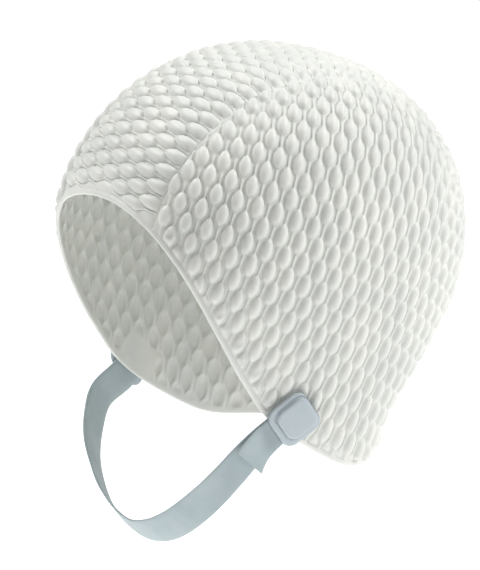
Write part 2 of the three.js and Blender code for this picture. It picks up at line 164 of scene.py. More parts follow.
# %% Edge line
RIM = [
    dict(turn=0.0, height=0.327),
    dict(turn=10.0, height=0.31),
    dict(turn=18.0, height=0.262),
    dict(turn=24.5, height=0.185),
    dict(turn=30.5, height=0.07),
    dict(turn=36.0, height=-0.086),
    dict(turn=41.3, height=-0.268),
    dict(turn=47.0, height=-0.455),
    dict(turn=54.5, height=-0.632),
    dict(turn=66.0, height=-0.765),
    dict(turn=85.0, height=-0.9),
    dict(turn=101.0, height=-0.977),
    dict(turn=118.0, height=-1.0),
    dict(turn=180.0, height=-1.0),
]
RIM_POINTS = 1440
NEAR_RIM = 25.0


def rim_height(turn):
    """Height of the edge on the side that is turned so many degrees from the face."""
    folded = np.abs((turn + 540) % 360 - 180)
    return NAPE_DROP * read_table(RIM, "turn", "height", folded)


def at_turn(turns, heights):
    """Points of the form at turns from the face and heights."""
    angle = np.radians(turns)
    level = np.zeros(len(turns))
    directions = np.stack([np.sin(angle), -np.cos(angle), level], axis=1)
    return on_form(np.stack([level, level, heights], axis=1), directions)


rim_turns = np.arange(RIM_POINTS) * 360 / RIM_POINTS
RIM_LINE = at_turn(rim_turns, rim_height(rim_turns))
rim_tree = KDTree(RIM_POINTS)
for index, point in enumerate(RIM_LINE):
    rim_tree.insert(point, index)
rim_tree.balance()


def inset_from_rim(feet):
    """Distance from the edge, positive on the cap and negative below it."""
    turn = np.degrees(np.arctan2(feet[:, 0], -feet[:, 1]))
    inset = feet[:, 2] - rim_height(turn)
    near = np.flatnonzero(np.abs(inset) < NEAR_RIM)
    nearest = np.array([rim_tree.find(foot)[1] for foot in feet[near]])
    distance = np.full(len(near), NEAR_RIM)
    for step in (-1, 0):
        start = RIM_LINE[(nearest + step) % RIM_POINTS]
        along = RIM_LINE[(nearest + step + 1) % RIM_POINTS] - start
        offset = feet[near] - start
        share = np.clip((offset * along).sum(1) / (along**2).sum(1), 0, 1)
        distance = np.minimum(distance, np.linalg.norm(offset - share[:, None] * along, axis=1))
    inset[near] = np.sign(inset[near]) * distance
    return inset


rim_length = np.linalg.norm(np.roll(RIM_LINE, -1, axis=0) - RIM_LINE, axis=1).sum()
print("the edge is", round(rim_length), "mm long")

# %% [markdown]
# ## One bubble
# Each bubble is a leaf: a blunt round end, a pointed end, and a steep round dome. A thin
# web of rubber runs from the point of one leaf to the next. The lines of the mesh are bent
# to the leaf's outline, because a plain grid would cut across it and leave it ragged. That
# is what a modeller does by hand when edge loops follow a feature.

# %% Bubble shape
BUBBLE_HEIGHT = 2.5
# Shares of a half cell: half the leaf's width and length, and half the web's width
LEAF_WIDTH = 0.6
LEAF_LENGTH = 0.64
WEB_WIDTH = 0.09
WEB_HEIGHT = 0.3
POINTED_END = 0.57
BLUNT_END = 0.5
# Where the mesh has lines, from the middle of a leaf to its edge, and beyond it to the next
DOME_LINES = (0.0, 0.55, 0.87, 1.0)
GAP_LINES = (0.5,)
ROW_LINES = (0.0, 0.2, 0.34, 0.39, 0.5, 0.61, 0.66, 0.8)


def leaf_half_width(along, leaf_width, leaf_length):
    """Half-width of a bubble or its web, at a place counted towards the leaf's point."""
    lens = np.clip(1 - (along / leaf_length) ** 2, 0, 1)
    lens = lens ** np.where(along > 0, POINTED_END, BLUNT_END)
    return np.maximum(leaf_width * lens, WEB_WIDTH)


def cell_places(u, v):
    """Two bubbles that a half cell touches: how far aside, how far along, and which they are."""
    column, row = np.floor(u), np.floor(v)
    even = (column + row) % 2 == 0
    left_row = np.where(even, row, row + 1)
    right_row = np.where(even, row + 1, row)
    return (
        (u - column, v - left_row, column, left_row),
        (column + 1 - u, v - right_row, column + 1, right_row),
    )


def bubble_share(u, v, leaf_width, leaf_length, point_side, share_of_bubble):
    """Height of the relief from 0 to 1 at places on the flat pattern."""
    share = np.zeros(len(u))
    for aside, along, column, row in cell_places(u, v):
        half_width = leaf_half_width(point_side * along, leaf_width, leaf_length)
        sideways = np.clip(aside / half_width, 0, 1)
        endways = np.clip(np.abs(along) / leaf_length, 0, 1)
        dome = np.sqrt(1 - sideways**2) * np.sqrt(1 - endways**2) * share_of_bubble(column, row)
        share = np.maximum(share, np.maximum(dome, WEB_HEIGHT * (1 - sideways**2)))
    return share


def leaf_grid(first_u, last_u, first_v, last_v, leaf_width, leaf_length, point_side):
    """Grid over a flat pattern, its lines bent to the outlines of the leaves."""
    rows = [row + share for row in range(first_v, last_v) for share in ROW_LINES]
    rows = np.array(rows + [last_v])
    lines = []
    for column in range(first_u, last_u):
        inside = np.full(len(rows), column + 0.5)
        (_, left, _, _), (_, right, _, _) = cell_places(inside, np.minimum(rows, last_v - 1e-9))
        left = leaf_half_width(point_side * left, leaf_width, leaf_length)
        right = 1 - leaf_half_width(point_side * right, leaf_width, leaf_length)
        lines += [column + share * left for share in DOME_LINES]
        lines += [column + left + share * (right - left) for share in GAP_LINES]
        lines += [column + 1 - share * (1 - right) for share in DOME_LINES[:0:-1]]
    lines.append(np.full(len(rows), float(last_u)))
    return np.array(lines), np.tile(rows, (len(lines), 1))


print("a leaf is", round(2 * LEAF_LENGTH * 9.3, 1), "mm long on the side panels")

# %% [markdown]
# ## From a flat pattern to a wall of rubber
# Each panel starts as a flat sheet, like a paper pattern. To trim it, every vertex is
# lifted by its distance from the edge, and a level cut at height zero takes off what lies
# outside. Bisect does this cleanly, and further cuts lay rows of edges along the rim for
# its bead. Then the sheet goes onto the form, and gets an inner side and closed edges.

# %% Trim and lift
BEAD_WIDTH = 2.8
BEAD_HEIGHT = 0.55
BARE_BAND = 3.3
FULL_BUBBLES = 4.6
SEAM_DEPTH = 0.5
SEAM_WIDTH = 0.7
DIMPLE_SHARE = 0.5
RIM_CUTS = (0.03, 0.12, 0.3, 0.5, 0.75, 1.0)


def trimmed(u, v, fields):
    """Cuts the sheet where a field crosses its first level, and scores it at the others."""
    across, rows = u.shape
    corner = np.arange(across * rows).reshape(across, rows)
    quads = np.stack([corner[:-1, :-1], corner[1:, :-1], corner[1:, 1:], corner[:-1, 1:]], axis=-1)
    quads = quads.reshape(-1, 4)
    for values, _ in fields:
        quads = quads[(values.ravel()[quads] > 0).any(axis=1)]
    sheet = bpy.data.meshes.new("sheet")
    flat = np.stack([u.ravel(), v.ravel(), np.zeros(u.size)], axis=1)
    sheet.from_pydata(flat, [], quads.tolist())
    bm = bmesh.new()
    bm.from_mesh(sheet)
    layers = [bm.verts.layers.float.new(f"field_{index}") for index in range(len(fields))]
    for layer, (values, _) in zip(layers, fields):
        for vertex, value in zip(bm.verts, values.ravel()):
            vertex[layer] = value
    bmesh.ops.delete(bm, geom=[vertex for vertex in bm.verts if not vertex.link_faces], context="VERTS")
    for layer, (_, levels) in zip(layers, fields):
        for vertex in bm.verts:
            vertex.co.z = vertex[layer]
        for order, level in enumerate(levels):
            bmesh.ops.bisect_plane(
                bm,
                geom=bm.verts[:] + bm.edges[:] + bm.faces[:],
                plane_co=(0, 0, level),
                plane_no=(0, 0, 1),
                clear_inner=order == 0,
            )
        for vertex in bm.verts:
            vertex[layer] = vertex.co.z
    bm.verts.index_update()
    places = [[vertex.co.x, vertex.co.y] + [vertex[layer] for layer in layers] for vertex in bm.verts]
    faces = [[vertex.index for vertex in face.verts] for face in bm.faces]
    bm.free()
    bpy.data.meshes.remove(sheet)
    return np.array(places), faces


def rim_profile(inset, relief):
    """Heights of the outer and inner side over the form, with a round bead along the edge."""
    half = BEAD_WIDTH / 2
    over_bead = np.sqrt(np.clip(1 - ((inset - half) / half) ** 2, 0, 1))
    rising = inset < half
    outer = np.where(rising, (BEAD_HEIGHT + WALL / 2) * over_bead - WALL / 2, BEAD_HEIGHT * over_bead)
    outer = np.where(inset < BEAD_WIDTH, outer, 0) + relief
    edge = np.sqrt(np.clip(1 - (1 - inset / (WALL / 2)) ** 2, 0, 1))
    edge = np.where(inset < WALL / 2, edge, 1)
    inner = -WALL / 2 - WALL / 2 * edge + DIMPLE_SHARE * relief
    return outer, inner


def closed_piece(name, points, faces):
    """Smooth-shaded object with its faces turned outwards and no loose vertices."""
    mesh = bpy.data.meshes.new(name)
    mesh.from_pydata(points, [], faces)
    bm = bmesh.new()
    bm.from_mesh(mesh)
    loose = [vertex for vertex in bm.verts if not vertex.link_faces]
    bmesh.ops.delete(bm, geom=loose, context="VERTS")
    bmesh.ops.recalc_face_normals(bm, faces=bm.faces)
    bm.to_mesh(mesh)
    bm.free()
    mesh.shade_smooth()
    piece = bpy.data.objects.new(name, mesh)
    bpy.context.scene.collection.objects.link(piece)
    triangles = sum(len(polygon.vertices) - 2 for polygon in mesh.polygons)
    print(name, "has", triangles, "triangles")
    return piece


def wall_of_rubber(name, feet, outward, outer, inner, faces, inset):
    """Closed mesh with an outer and an inner side, welded along the rim."""
    count = len(feet)
    points = np.concatenate([feet + outward * outer[:, None], feet + outward * inner[:, None]]) * MM
    on_rim = inset < 1e-4
    twin = np.where(on_rim, np.arange(count), np.arange(count) + count)
    edges = {}
    for face in faces:
        for start, end in zip(face, face[1:] + face[:1]):
            edges[(start, end)] = True
    inner_faces = [[int(twin[vertex]) for vertex in reversed(face)] for face in faces]
    walls = []
    for start, end in edges:
        if (end, start) not in edges and not (on_rim[start] and on_rim[end]):
            wall = [end, start, int(twin[start]), int(twin[end])]
            walls.append(list(dict.fromkeys(wall)))
    return closed_piece(name, points, faces + inner_faces + walls)


# %% [markdown]
# ## Where the buttons sit
# A button needs flat rubber under it, so the bubbles stop round it. Its place is fixed by a
# turn from the face, a height on the flap and the slope of the strap.

# %% Button seat
BUTTON_LENGTH = 22.0
BUTTON_WIDTH = 25.5
STRAP_WIDTH = 17.0
STRAP_CLEARANCE = 1.5
BUTTON_TURN = 66.0
BUTTON_DROP = 0.66
BUTTON_SLOPE = 37.5
BUTTON_FADE = 0.8


def button_seat():
    """Middle of the left button on the form, and its three directions."""
    middle = at_turn(np.array([BUTTON_TURN]), np.array([-BUTTON_DROP * NAPE_DROP]))
    outward = outward_at(middle)[0]
    slope = math.radians(BUTTON_SLOPE)
    along = np.array([0, -math.cos(slope), -math.sin(slope)])
    along -= outward * (along @ outward)
    along /= np.linalg.norm(along)
    return middle[0], outward, along, np.cross(outward, along)


SEAT, SEAT_OUTWARD, SEAT_ALONG, SEAT_ACROSS = button_seat()


def clear_of_button(feet):
    """0 under a button and the strap that leaves it, 1 away from them."""
    offset = np.abs(feet * [1, 0, 0]) + feet * [0, 1, 1] - SEAT
    beside_strap = np.abs(offset @ SEAT_ACROSS) - STRAP_WIDTH / 2 - STRAP_CLEARANCE
    beside_button = np.abs(offset @ SEAT_ACROSS) - BUTTON_WIDTH / 2
    behind = -(offset @ SEAT_ALONG)
    clear = np.maximum(beside_strap, behind - BUTTON_LENGTH / 2)
    clear = np.minimum(clear, np.maximum(beside_button, np.abs(behind) - BUTTON_LENGTH / 2))
    return smooth_share(clear, -BUTTON_FADE, BUTTON_FADE)


print("left button at", SEAT.round(1), "mm")

# %% [markdown]
# ## The centre strip
# The strip is 72 mm wide. Its bubbles lie crosswise in staggered rows, 21 mm apart in a
# row and 4.3 mm from row to row along the head, and their blunt ends point to the wearer's
# left. Its flat pattern is a ribbon: one direction is the distance from the middle line,
# the other the run over the head.

# %% Centre strip
SEAM = 36.0
STRIP_COLUMNS = 4
STRIP_COLUMN = 10.6
STRIP_ROW = 4.32
STRIP_START = 4.2
STRIP_SKEW = 0.1
STRIP_FIRST_ANGLE = 6.0
STRIP_LAST_ANGLE = 249.0
STRIP_LEAF_WIDTH = 0.8
STRIP_LEAF_LENGTH = 0.68
SEAM_GAP = 0.04
OUTLINE_STEPS = 1200
# Distances from the edge between which a bubble of the strip grows to its full height
STRIP_RIM_START = (4.0, 5.5)
STRIP_SEAM_FADE = (0.3, 1.8)


def seam_groove(beside_seam):
    """A shallow groove along the seam."""
    return -SEAM_DEPTH * (1 - smooth_share(beside_seam, 0, SEAM_WIDTH))


def centre_strip():
    angles = np.radians(np.linspace(STRIP_FIRST_ANGLE, STRIP_LAST_ANGLE, OUTLINE_STEPS))
    level = np.zeros(len(angles))
    directions = np.stack([level, -np.cos(angles), np.sin(angles)], axis=1)
    outline = on_form(np.zeros((len(angles), 3)), directions)
    run = np.concatenate([[0], np.linalg.norm(np.diff(outline, axis=0), axis=1).cumsum()])
    rows = int((run[-1] - STRIP_START) / STRIP_ROW)
    # The pattern is counted crosswise: along the head comes first, across it second
    columns = STRIP_COLUMNS
    over, aside = leaf_grid(0, rows, -columns, columns, STRIP_LEAF_WIDTH, STRIP_LEAF_LENGTH, -1)

    def feet_of(over, aside):
        x = np.clip(aside * STRIP_COLUMN, SEAM_GAP - SEAM, SEAM - SEAM_GAP)
        angle = np.interp(STRIP_START + over * STRIP_ROW - STRIP_SKEW * x, run, angles)
        level = np.zeros(len(x))
        starts = np.stack([x, level, level], axis=1)
        return on_form(starts, np.stack([level, -np.cos(angle), np.sin(angle)], axis=1))

    feet = feet_of(over.ravel(), aside.ravel())
    inset = inset_from_rim(feet).reshape(over.shape)
    to_seam = (SEAM - SEAM_GAP) / STRIP_COLUMN - np.abs(aside)
    levels = [0] + [share * BEAD_WIDTH for share in RIM_CUTS]
    places, faces = trimmed(over, aside, [(inset, levels), (to_seam, [0])])
    over, aside, inset, _ = places.T
    feet = feet_of(over, aside)
    outward = unit(outward_at(feet) * [0, 1, 1])
    beside = SEAM - np.abs(feet[:, 0])

    def inner_columns(row_over, column_aside):
        middles = feet_of(row_over, column_aside)
        from_rim = smooth_share(inset_from_rim(middles), *STRIP_RIM_START)
        return (np.abs(column_aside) < STRIP_COLUMNS) * from_rim

    share = bubble_share(over, aside, STRIP_LEAF_WIDTH, STRIP_LEAF_LENGTH, -1, inner_columns)
    relief = BUBBLE_HEIGHT * share
    relief = relief * smooth_share(inset, BARE_BAND, FULL_BUBBLES)
    relief = relief * smooth_share(beside, *STRIP_SEAM_FADE)
    outer, inner = rim_profile(inset, relief)
    outer = outer + seam_groove(beside) * smooth_share(inset, BEAD_WIDTH, BARE_BAND)
    return wall_of_rubber("cap_strip", feet, outward, outer, inner, faces, inset)


strip_piece = centre_strip()

# %% [markdown]
# ## The side panels
# A side panel's bubbles stand nearly upright. The flat pattern is wrapped round the head
# from the middle of the ear: each place is walked out along the form in its own heading,
# so lengths outward stay true, as on a map that is drawn round a pole.

# %% Wrapping the side pattern
SIDE_ACROSS = 5.15
SIDE_ALONG = 9.3
SIDE_ACROSS_TILT = math.radians(29.5)
SIDE_ALONG_TILT = math.radians(24.3)
SIDE_SHIFT_BACK = -3.3
SIDE_SHIFT_UP = 4.2
SIDE_SPAN = 80.0
SIDE_WIDENING = 0.06
SIDE_SAG = 0.05
WALK_TURNS = 72
WALK_STEPS = 60
WALK_DEGREES = 1.5


def on_left_side(heading, angle):
    """Points of the left side in headings round its widest point, so many radians away."""
    aside = np.sin(angle)
    directions = np.stack([np.cos(angle), aside * np.cos(heading), aside * np.sin(heading)], axis=1)
    return on_form(np.zeros((len(angle), 3)), directions)


def side_walks():
    """Lengths along the form to each step: one row for a heading, one column for a step."""
    headings = np.linspace(0, 2 * math.pi, WALK_TURNS + 1)
    angles = np.radians(WALK_DEGREES * np.arange(WALK_STEPS + 1))
    shape = (len(headings), len(angles))
    heading, angle = (grid.ravel() for grid in np.meshgrid(headings, angles, indexing="ij"))
    points = on_left_side(heading, angle).reshape(*shape, 3)
    steps = np.linalg.norm(np.diff(points, axis=1), axis=2)
    return np.concatenate([np.zeros((shape[0], 1)), steps.cumsum(axis=1)], axis=1)


WALKS = side_walks()


def walked_angle(heading, distance):
    """Angle that is reached by walking a distance along the form."""
    turn = heading % (2 * math.pi) * WALK_TURNS / (2 * math.pi)
    before = np.minimum(turn.astype(int), WALK_TURNS - 1)
    share = (turn - before)[:, None]
    lengths = WALKS[before] * (1 - share) + WALKS[before + 1] * share
    step = np.clip((lengths < distance[:, None]).sum(axis=1) - 1, 0, WALK_STEPS - 1)
    near = np.take_along_axis(lengths, step[:, None], axis=1)[:, 0]
    far = np.take_along_axis(lengths, step[:, None] + 1, axis=1)[:, 0]
    return np.radians(WALK_DEGREES) * (step + (distance - near) / (far - near))


def side_feet(u, v, side):
    """Feet of places on the side pattern, counted in half bubbles from its middle."""
    back = u * SIDE_ACROSS * math.cos(SIDE_ACROSS_TILT) + v * SIDE_ALONG * math.sin(SIDE_ALONG_TILT)
    up = -u * SIDE_ACROSS * math.sin(SIDE_ACROSS_TILT) + v * SIDE_ALONG * math.cos(SIDE_ALONG_TILT)
    back, up = back + SIDE_SHIFT_BACK, up + SIDE_SHIFT_UP
    widened = back * (1 + SIDE_WIDENING * up / SIDE_SPAN)
    sagged = up - SIDE_SAG * (back**2 + up**2) / SIDE_SPAN
    heading = np.arctan2(sagged, widened)
    return on_left_side(heading, walked_angle(heading, np.hypot(widened, sagged))) * [side, 1, 1]


print("from the ear's middle to the crown:", WALKS[WALK_TURNS // 4, -1].round(1), "mm along the rubber")

# %% [markdown]
# ## Bubbles at the edges of a side panel
# Bubbles come right up to the seam and the smooth band. One whose middle lies past them is
# left out, and the others are cut where they meet them. Some next to the front edge carry
# a round dimple, perhaps the mark of a vent in the mould. So each bubble is judged by its
# own middle, and the answer holds for the whole leaf.

# %% Side panels
SIDE_COLUMNS = 24
SIDE_ROWS = 13
VENT_RADIUS = 1.3
VENT_DEPTH = 1.3
VENT_INSET = (5.0, 8.5)
VENT_FLOOR = 0.3
VENTS_IN_FRONT_OF = -20.0
# Distances from the seam and the rim between which a bubble grows to its full height
SIDE_SEAM_START = (-1.0, 0.5)
SIDE_RIM_START = (1.5, 3.0)
SIDE_SEAM_FADE = (0.2, 0.9)
# Distances from the seam over which the rubber turns to the strip's direction
SEAM_TURN = (-2.0, 10.0)


def vent_dimples(u, v, side):
    """Depth of the round dimples on the bubbles next to the front edge."""
    depth = np.zeros(len(u))
    for aside, along, column, row in cell_places(u, v):
        middles = side_feet(column, row, side)
        inset = inset_from_rim(middles)
        vented = (inset > VENT_INSET[0]) & (inset < VENT_INSET[1])
        vented = vented & (middles[:, 1] < VENTS_IN_FRONT_OF)
        distance = np.hypot(aside * SIDE_ACROSS, along * SIDE_ALONG)
        hollow = 1 - smooth_share(distance, VENT_FLOOR, VENT_RADIUS)
        depth = np.maximum(depth, vented * VENT_DEPTH * hollow)
    return depth


def side_panel(name, side):
    columns, rows = SIDE_COLUMNS, SIDE_ROWS
    u, v = leaf_grid(-columns, columns, -rows, rows, LEAF_WIDTH, LEAF_LENGTH, 1)
    feet = side_feet(u.ravel(), v.ravel(), side)
    inset = inset_from_rim(feet).reshape(u.shape)
    beside = (side * feet[:, 0] - SEAM - SEAM_GAP).reshape(u.shape)
    levels = [0] + [share * BEAD_WIDTH for share in RIM_CUTS]
    places, faces = trimmed(u, v, [(inset, levels), (beside, [0, SEAM_WIDTH / 2, SEAM_WIDTH])])
    u, v, inset, beside = places.T
    if side < 0:
        faces = [face[::-1] for face in faces]
    feet = side_feet(u, v, side)
    outward = outward_at(feet)
    outward[:, 0] *= smooth_share(beside, *SEAM_TURN)
    outward = unit(outward)

    def whole_ones(column, row):
        middles = side_feet(column, row, side)
        from_seam = smooth_share(side * middles[:, 0] - SEAM, *SIDE_SEAM_START)
        return from_seam * smooth_share(inset_from_rim(middles), *SIDE_RIM_START)

    relief = BUBBLE_HEIGHT * bubble_share(u, v, LEAF_WIDTH, LEAF_LENGTH, 1, whole_ones)
    relief = np.maximum(relief - vent_dimples(u, v, side), 0)
    relief = relief * smooth_share(inset, BARE_BAND, FULL_BUBBLES)
    relief = relief * smooth_share(beside, *SIDE_SEAM_FADE)
    relief = relief * clear_of_button(feet)
    outer, inner = rim_profile(inset, relief)
    outer = outer + seam_groove(beside) * smooth_share(inset, BEAD_WIDTH, BARE_BAND)
    return wall_of_rubber(name, feet, outward, outer, inner, faces, inset)


left_piece = side_panel("cap_side_left", 1)
right_piece = side_panel("cap_side_right", -1)
cap_pieces = [strip_piece, left_piece, right_piece]

# %% [markdown]
# ## The chin strap
# The strap is one flat loop of rubber that starts under the left button, follows the jaw,
# passes under the chin and ends under the right button. A swept section with rounded edges
# keeps it smooth: a plain ribbon with a thickness would have knife edges. Its end on the
# left comes back out of the button as a short tab over the strap.

# %% Strap route
STRAP_THICKNESS = 1.0
SEAT_GAP = 0.3
STRAP_STANDOFF = 0.7
TAB_LENGTH = 31.0
TAB_WIDTH = 18.5
STRAP_LIFT = STRAP_STANDOFF + STRAP_THICKNESS / 2
TAB_LIFT = STRAP_THICKNESS + SEAT_GAP

STRAP_ROUTE = [
    dict(side=0.79, forward=0.5, drop=0.8, lean=52),
    dict(side=0.725, forward=0.58, drop=0.9, lean=55),
    dict(side=0.63, forward=0.64, drop=1.0, lean=58),
    dict(side=0.5, forward=0.68, drop=1.095, lean=59),
    dict(side=0.366, forward=0.705, drop=1.17, lean=56),
    dict(side=0.2, forward=0.714, drop=1.23, lean=50),
    dict(side=0.0, forward=0.715, drop=1.26, lean=46),
]


def strap_route():
    """Points of the whole loop and the directions of the strap's width."""
    start = SEAT + SEAT_OUTWARD * STRAP_LIFT
    points = [start, start + SEAT_ALONG * BUTTON_LENGTH / 2]
    widths = [SEAT_ACROSS, SEAT_ACROSS]
    for row in STRAP_ROUTE:
        lean = math.radians(row["lean"])
        point = [row["side"] * HALF_WIDTH, -row["forward"] * FRONT_LENGTH, -row["drop"] * NAPE_DROP]
        points.append(np.array(point))
        widths.append(np.array([0, math.cos(lean), -math.sin(lean)]))
    mirror = np.array([-1, 1, 1])
    points += [point * mirror for point in points[-2::-1]]
    widths += [width * mirror for width in widths[-2::-1]]
    return np.array(points), np.array(widths)


def smooth_curve(points, steps):
    """Even-handed curve through points, whose speed follows the root of their distances."""
    ends = [2 * points[0] - points[1], 2 * points[-1] - points[-2]]
    padded = np.concatenate([ends[:1], points, ends[1:]])
    gaps = np.maximum(np.linalg.norm(np.diff(padded, axis=0), axis=1) ** 0.5, 1e-4)
    curve = []
    for index in range(len(points) - 1):
        before, start, end, after = padded[index : index + 4]
        gap_before, gap, gap_after = gaps[index : index + 3]
        leaving = (start - before) / gap_before - (end - before) / (gap_before + gap)
        leaving = (leaving + (end - start) / gap) * gap
        arriving = (end - start) / gap - (after - start) / (gap + gap_after)
        arriving = (arriving + (after - end) / gap_after) * gap
        share = np.linspace(0, 1, steps, endpoint=False)[:, None]
        curve.append(
            (2 * share**3 - 3 * share**2 + 1) * start
            + (share**3 - 2 * share**2 + share) * leaving
            + (3 * share**2 - 2 * share**3) * end
            + (share**3 - share**2) * arriving
        )
    return np.concatenate(curve + [points[-1:]])


def band_stations(count, last_length, lift=0.0):
    """Middles, outward and width directions at even steps along the strap."""
    points, widths = strap_route()
    fine = smooth_curve(points, 60)
    leans = smooth_curve(widths, 60)
    run = np.concatenate([[0], np.linalg.norm(np.diff(fine, axis=0), axis=1).cumsum()])
    places = np.linspace(0, min(last_length, run[-1]), count + 1)
    middles = np.stack([np.interp(places, run, fine[:, axis]) for axis in range(3)], axis=1)
    widths = np.stack([np.interp(places, run, leans[:, axis]) for axis in range(3)], axis=1)
    tangents = unit(np.gradient(middles, axis=0))
    widths = unit(widths - tangents * (widths * tangents).sum(1)[:, None])
    outward = np.cross(tangents, widths)
    return middles + outward * lift, outward, widths, places, run[-1]


whole_loop = band_stations(10, math.inf)[4]
print("the strap is", round(whole_loop), "mm long from button to button")

# %% Strap and tab
EDGE_POINTS = 5
FACE_POINTS = 9
STRAP_STEPS = 160
TAB_STEPS = 40
TAB_FLARE = 1.6
TAB_RISE = 4.5
TAB_FLARE_LENGTH = 17.0


def band_section(width, thickness):
    """Flat section with half-round edges, anticlockwise."""
    radius = thickness / 2
    angles = np.linspace(-math.pi / 2, math.pi / 2, EDGE_POINTS)
    right = [(width / 2 - radius + radius * math.cos(a), radius * math.sin(a)) for a in angles]
    face = [(x, radius) for x in np.linspace(width / 2 - radius, radius - width / 2, FACE_POINTS)[1:-1]]
    left = [(-x, -y) for x, y in right]
    back = [(-x, -y) for x, y in face]
    return np.array(right + face + left + back)


def band(name, stations, width, thickness, lifts=0.0, width_gains=0.0):
    """Closed band swept along its stations."""
    middles, outward, widths, places, _ = stations
    section = band_section(width, thickness)
    lifts = np.broadcast_to(lifts, places.shape)
    gains = np.broadcast_to(width_gains, places.shape)
    loops = []
    for middle, out, across, lift, gain in zip(middles, outward, widths, lifts, gains):
        sideways = section[:, 0] * (1 + gain / width)
        loops.append(middle + out * (lift + section[:, 1])[:, None] + across * sideways[:, None])
    size = len(section)
    points = np.concatenate(loops) * MM
    faces = []
    for station in range(len(loops) - 1):
        base = station * size
        for index in range(size):
            beside = (index + 1) % size
            faces.append([base + index, base + beside, base + size + beside, base + size + index])
    faces.append(list(range(size))[::-1])
    faces.append([len(points) - size + index for index in range(size)])
    piece = closed_piece(name, points, faces)
    piece.data.set_sharp_from_angle(angle=math.radians(60))
    return piece


strap_piece = band("chin_strap", band_stations(STRAP_STEPS, math.inf), STRAP_WIDTH, STRAP_THICKNESS)

tab_stations = band_stations(TAB_STEPS, TAB_LENGTH, TAB_LIFT)
to_end = tab_stations[3] - (TAB_LENGTH - TAB_FLARE_LENGTH)
flare = np.clip(to_end / TAB_FLARE_LENGTH, 0, 1) ** 2
tab_piece = band(
    "strap_end_tab", tab_stations, TAB_WIDTH - 1, STRAP_THICKNESS, TAB_RISE * flare, TAB_FLARE * flare
)

# %% [markdown]
# ## The buttons
# Each button is a moulded plastic cushion: a thin flange with a raised pad, and a fine
# groove between them. It is made of rounded-square outlines stacked like the rings of a
# turned knob, each row saying how far the outline steps in and how high it lies.

# %% Buttons
BUTTON_CORNER = 6.0
CORNER_POINTS = 10
PAD_SHIFT_BACK = 1.5
# How far each ring steps in along and across the strap, and its height
BUTTON_ROWS = [
    dict(inset=0.6, narrower=0.6, height=0.0),
    dict(inset=0.18, narrower=0.18, height=0.1),
    dict(inset=0.0, narrower=0.0, height=0.45),
    dict(inset=0.0, narrower=0.0, height=0.85),
    dict(inset=0.18, narrower=0.18, height=1.2),
    dict(inset=0.45, narrower=0.5, height=1.4),
    dict(inset=1.2, narrower=1.8, height=1.45),
    dict(inset=1.55, narrower=2.2, height=1.4),
    dict(inset=1.65, narrower=2.35, height=1.1),
    dict(inset=1.8, narrower=2.5, height=1.1),
    dict(inset=1.87, narrower=3.1, height=1.45),
    dict(inset=1.95, narrower=3.2, height=2.5),
    dict(inset=2.15, narrower=3.4, height=3.05),
    dict(inset=2.7, narrower=3.95, height=3.33),
    dict(inset=3.9, narrower=5.1, height=3.4),
    dict(inset=6.2, narrower=7.2, height=3.4),
    dict(inset=9.0, narrower=10.2, height=3.4),
]
PAD_START = 1.5
PAD_SHIFT_UP = 0.6


def rounded_outline(length, width, corner):
    """Points of a rectangle with round corners."""
    points = []
    for quarter in range(4):
        turn = quarter * math.pi / 2
        middle_x = (length / 2 - corner) * (1 if quarter in (0, 3) else -1)
        middle_y = (width / 2 - corner) * (1 if quarter in (0, 1) else -1)
        for step in range(CORNER_POINTS):
            angle = turn + step / (CORNER_POINTS - 1) * math.pi / 2
            points.append((middle_x + corner * math.cos(angle), middle_y + corner * math.sin(angle)))
    return points


def button(name, side, layers_under):
    """Button over the strap, on the wearer's left for side 1."""
    lift = STRAP_LIFT + STRAP_THICKNESS / 2 + SEAT_GAP + layers_under * TAB_LIFT
    mirror = np.array([side, 1, 1])
    points = []
    for row in BUTTON_ROWS:
        inset = row["inset"]
        corner = max(BUTTON_CORNER - 0.5 * inset, 1.0)
        length, width = BUTTON_LENGTH - 2 * inset, BUTTON_WIDTH - 2 * row["narrower"]
        corner = min(corner, 0.499 * length, 0.499 * width)
        shift = min(inset / PAD_START, 1)
        for along, across in rounded_outline(length, width, corner):
            point = SEAT + SEAT_ALONG * (along - PAD_SHIFT_BACK * shift)
            point = point + SEAT_ACROSS * (across - PAD_SHIFT_UP * shift)
            points.append((point + SEAT_OUTWARD * (lift + row["height"])) * mirror * MM)
    size = 4 * CORNER_POINTS
    faces = []
    for ring in range(len(BUTTON_ROWS) - 1):
        for index in range(size):
            beside = (index + 1) % size
            faces.append([ring * size + index, ring * size + beside])
            faces[-1] += [(ring + 1) * size + beside, (ring + 1) * size + index]
    faces.append(list(range(size))[::-1])
    faces.append([len(points) - size + index for index in range(size)])
    return closed_piece(name, points, faces)


left_button = button("button_cushion_left", 1, 1)
right_button = button("button_cushion_right", -1, 0)

# %% [markdown]
# ## Colour and finish
# A colour is read off as sRGB, the way a screen shows it, and a shader wants it linear, so
# one function turns it. Another adds a node with its settings and links. Patterns use
# object coordinates, which are metres, so a noise scale is one over the size of a patch.

# %% Helpers for materials
def linear(hex_colour):
    """Linear red, green, blue and alpha of an sRGB hex colour."""
    channels = [int(hex_colour[start : start + 2], 16) / 255 for start in (1, 3, 5)]
    return [c / 12.92 if c < 0.04045 else ((c + 0.055) / 1.055) ** 2.4 for c in channels] + [1.0]


def add_node(tree, kind, inputs, **settings):
    """Adds a node. An input is a value, or the output socket that feeds it."""
    node = tree.nodes.new(kind)
    for name, value in settings.items():
        setattr(node, name, value)
    for name, value in inputs.items():
        if isinstance(value, bpy.types.NodeSocket):
            tree.links.new(value, node.inputs[name])
        else:
            node.inputs[name].default_value = value
    return node


